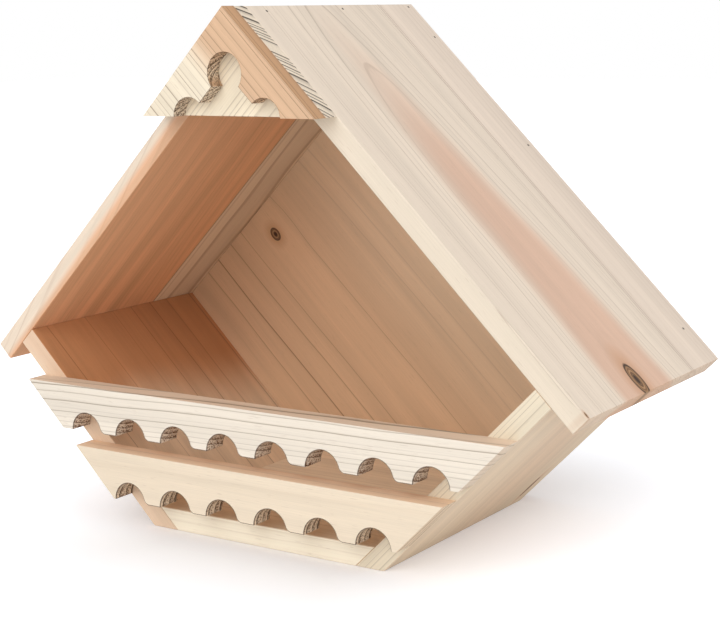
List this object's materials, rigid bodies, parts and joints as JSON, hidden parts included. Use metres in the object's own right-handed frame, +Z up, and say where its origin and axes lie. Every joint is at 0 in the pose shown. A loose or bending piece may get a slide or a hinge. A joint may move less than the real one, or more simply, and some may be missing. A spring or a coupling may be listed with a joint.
{
  "type": "wooden dovecote nest box",
  "caption": "Small diamond-fronted wooden nest box for doves with a steep gable roof, a lobed gable piece and scalloped front boards.",
  "frame": {"origin": "middle of the underside of the floor board, on the surface that the box stands on", "axes": "+Z up, +X to the right seen from the front, +Y to the back; the open front faces -Y"},
  "size_m": [0.404, 0.1848, 0.3],
  "materials": {
    "roof_right_wood": "planed, untreated",
    "roof_left_wood": "planed, untreated",
    "wall_wood": "planed, untreated",
    "floor_wood": "planed, untreated",
    "back_panel_wood": "planed, untreated",
    "pediment_back_wood": "planed, untreated",
    "pediment_front_wood": "planed, untreated",
    "fence_wood": "planed, untreated"
  },
  "bodies": {
    "root": {"roof_right_front": "roof_right_wood", "roof_right_back": "roof_right_wood", "roof_left_front": "roof_left_wood", "roof_left_back": "roof_left_wood", "wall_left": "wall_wood", "wall_right": "wall_wood", "floor_board": "floor_wood", "back_panel": "back_panel_wood", "pediment_back": "pediment_back_wood", "pediment_front": "pediment_front_wood", "upper_fence": "fence_wood", "lower_fence": "fence_wood"}
  },
  "joints": []
}
